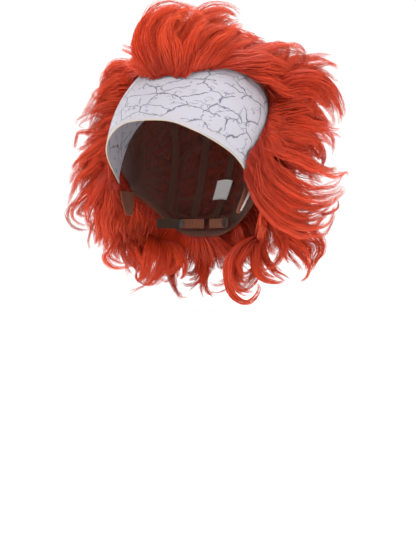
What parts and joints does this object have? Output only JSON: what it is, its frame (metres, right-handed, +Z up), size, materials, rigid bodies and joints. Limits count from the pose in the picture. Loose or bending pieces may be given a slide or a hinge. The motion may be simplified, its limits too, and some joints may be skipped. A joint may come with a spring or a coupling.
{
  "type": "costume wig",
  "caption": "Full curly costume wig with a tall swept-up forelock, receding hairline and a pale printed fabric forehead panel on an adjustable net cap.",
  "frame": {"origin": "middle of the crown patch's flat lower face, where the top of the wearer's head touches", "axes": "+Z up as worn, the face looks along -Y, +X is the wearer's left"},
  "size_m": [0.2904, 0.2612, 0.3108],
  "materials": {
    "panel_knit": "fine stretch knit, pale lilac white, printed with thin grey crackle lines",
    "hem_elastic": "narrow tan elastic edge",
    "cap_net": "dark brown stretch net",
    "cap_tape": "dark brown woven tape",
    "weft_track": "sewn hair track, red brown stitching",
    "lining_cloth": "soft tan lining cloth",
    "label_satin": "blank white satin",
    "stay_plastic": "clear-white flexible boning",
    "strap_elastic": "black knitted elastic",
    "hook_plastic": "small dark moulded hook",
    "synthetic_hair": "curled orange-red synthetic fibre, satin sheen"
  },
  "bodies": {
    "cap": {"back_net": "cap_net", "brow_hem_elastic": "hem_elastic", "centre_nape_curl": "synthetic_hair", "crown_hair": "synthetic_hair", "crown_net": "cap_net", "crown_patch": "lining_cloth", "forehead_panel": "panel_knit", "hairline_tape": "cap_tape", "left_back_hair": "synthetic_hair", "left_eye_tape": "cap_tape", "left_nape_curl": "synthetic_hair", "left_side_net": "cap_net", "left_top_hair": "synthetic_hair", "nape_binding": "cap_tape", "ribbon_centre_back": "cap_tape", "ribbon_left_back": "cap_tape", "ribbon_left_side": "cap_tape", "ribbon_right_back": "cap_tape", "ribbon_right_side": "cap_tape", "right_back_hair": "synthetic_hair", "right_eye_tape": "cap_tape", "right_nape_curl": "synthetic_hair", "right_side_net": "cap_net", "right_top_hair": "synthetic_hair", "size_label": "label_satin", "weft_row_1": "weft_track", "weft_row_2": "weft_track", "weft_row_3": "weft_track", "weft_row_4": "weft_track", "weft_row_5": "weft_track", "weft_row_6": "weft_track", "weft_row_7": "weft_track", "weft_row_8": "weft_track", "weft_row_9": "weft_track"},
    "forelock": {"forelock_hair": "synthetic_hair"},
    "left_side_lock": {"left_side_hair": "synthetic_hair"},
    "right_side_lock": {"right_side_hair": "synthetic_hair"},
    "back_fall": {"back_fall_hair": "synthetic_hair"},
    "left_tab": {"left_ear_tab": "cap_net", "left_ear_stay": "stay_plastic"},
    "right_tab": {"right_ear_tab": "cap_net", "right_ear_stay": "stay_plastic"},
    "left_adjuster": {"left_adjuster_strap": "strap_elastic", "left_adjuster_hook": "hook_plastic"},
    "right_adjuster": {"right_adjuster_strap": "strap_elastic", "right_adjuster_hook": "hook_plastic"}
  },
  "joints": [
    {"name": "forelock_sway", "type": "hinge", "parent": "cap", "child": "forelock", "pos_m": [0, -0.08417, -0.0238], "axis": [1, 0, 0], "range_deg": [-4, 30], "stiffness_Nm_per_rad": 0.12},
    {"name": "left_side_lift", "type": "hinge", "parent": "cap", "child": "left_side_lock", "pos_m": [0.08575, -0.03217, -0.0908], "axis": [0, -1, 0], "range_deg": [0, 20]},
    {"name": "right_side_lift", "type": "hinge", "parent": "cap", "child": "right_side_lock", "pos_m": [-0.08575, -0.03217, -0.0908], "axis": [0, 1, 0], "range_deg": [0, 20]},
    {"name": "back_lift", "type": "hinge", "parent": "cap", "child": "back_fall", "pos_m": [0, 0.07425, -0.0908], "axis": [1, 0, 0], "range_deg": [0, 20]},
    {"name": "left_ear_tab_fold", "type": "hinge", "parent": "cap", "child": "left_tab", "pos_m": [0.0721, -0.03813, -0.14706], "axis": [-0.0992, 0.9951, 0], "range_deg": [0, 60]},
    {"name": "right_ear_tab_fold", "type": "hinge", "parent": "cap", "child": "right_tab", "pos_m": [-0.0721, -0.03813, -0.14706], "axis": [-0.0992, -0.9951, 0], "range_deg": [0, 60]},
    {"name": "left_adjuster_travel", "type": "hinge", "parent": "cap", "child": "left_adjuster", "pos_m": [0, -0.03937, -0.1808], "axis": [0, 0, 1], "range_deg": [0, 18]},
    {"name": "right_adjuster_travel", "type": "hinge", "parent": "cap", "child": "right_adjuster", "pos_m": [0, -0.03937, -0.1808], "axis": [0, 0, -1], "range_deg": [0, 18]}
  ]
}
